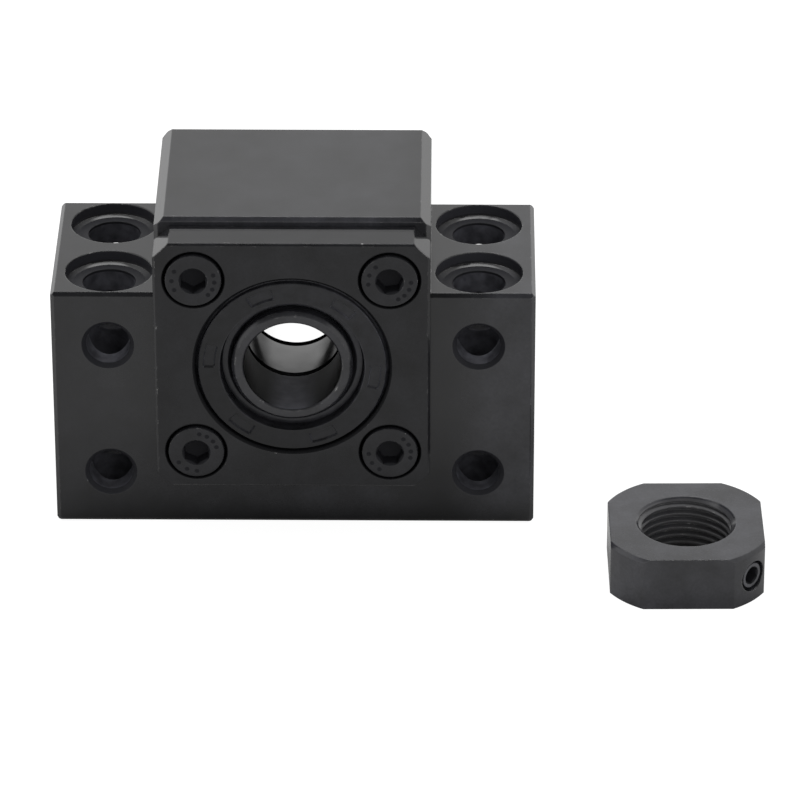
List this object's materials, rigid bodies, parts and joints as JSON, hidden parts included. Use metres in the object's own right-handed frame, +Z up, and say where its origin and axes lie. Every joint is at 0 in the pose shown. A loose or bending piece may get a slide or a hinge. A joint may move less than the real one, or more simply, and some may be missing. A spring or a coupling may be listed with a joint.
{
  "type": "ball screw end support",
  "caption": "Fixed-side ball screw support unit: winged steel housing with paired angular contact bearings, bolted holding lid, lip seals, collars and a loose lock nut.",
  "frame": {"origin": "middle of the housing's base face, below the screw axis and midway between the upright mounting holes", "axes": "+X across the housing, +Y along the screw axis from the lid side to the back, +Z up from the base"},
  "size_m": [0.0883, 0.046, 0.043],
  "materials": {
    "housing_steel": "ground steel with a black oxide finish, satin",
    "lid_steel": "ground steel with a black oxide finish, satin",
    "screw_steel": "black oxide alloy steel",
    "seal_rubber": "matt moulded nitrile rubber",
    "collar_steel": "turned steel with a black oxide finish",
    "bearing_steel": "bright ground bearing steel",
    "ball_steel": "polished bearing steel",
    "cage_resin": "moulded resin",
    "nut_steel": "turned steel with a thin black oxide finish",
    "set_piece_brass": "turned brass"
  },
  "bodies": {
    "root": {"housing": "housing_steel", "holding_lid": "lid_steel", "lid_screws": "screw_steel", "front_seal": "seal_rubber", "rear_seal": "seal_rubber", "front_outer_ring": "bearing_steel", "rear_outer_ring": "bearing_steel", "lock_nut": "nut_steel", "set_screw": "screw_steel", "set_piece": "set_piece_brass"},
    "rotor": {"front_collar": "collar_steel", "rear_collar": "collar_steel", "front_inner_ring": "bearing_steel", "rear_inner_ring": "bearing_steel"},
    "front_ball_set": {"front_cage": "cage_resin", "front_balls": "ball_steel"},
    "rear_ball_set": {"rear_cage": "cage_resin", "rear_balls": "ball_steel"}
  },
  "joints": [
    {"name": "rotor_spin", "type": "hinge", "parent": "root", "child": "rotor", "pos_m": [0, 0, 0.025], "axis": [0, 1, 0], "continuous": true},
    {"name": "front_cage_spin", "type": "hinge", "parent": "root", "child": "front_ball_set", "pos_m": [0, 0, 0.025], "axis": [0, 1, 0], "continuous": true},
    {"name": "rear_cage_spin", "type": "hinge", "parent": "root", "child": "rear_ball_set", "pos_m": [0, 0, 0.025], "axis": [0, 1, 0], "continuous": true}
  ],
  "couplings": [
    {"joint": "front_cage_spin", "follows": "rotor_spin", "ratio": 0.397},
    {"joint": "rear_cage_spin", "follows": "rotor_spin", "ratio": 0.397}
  ]
}
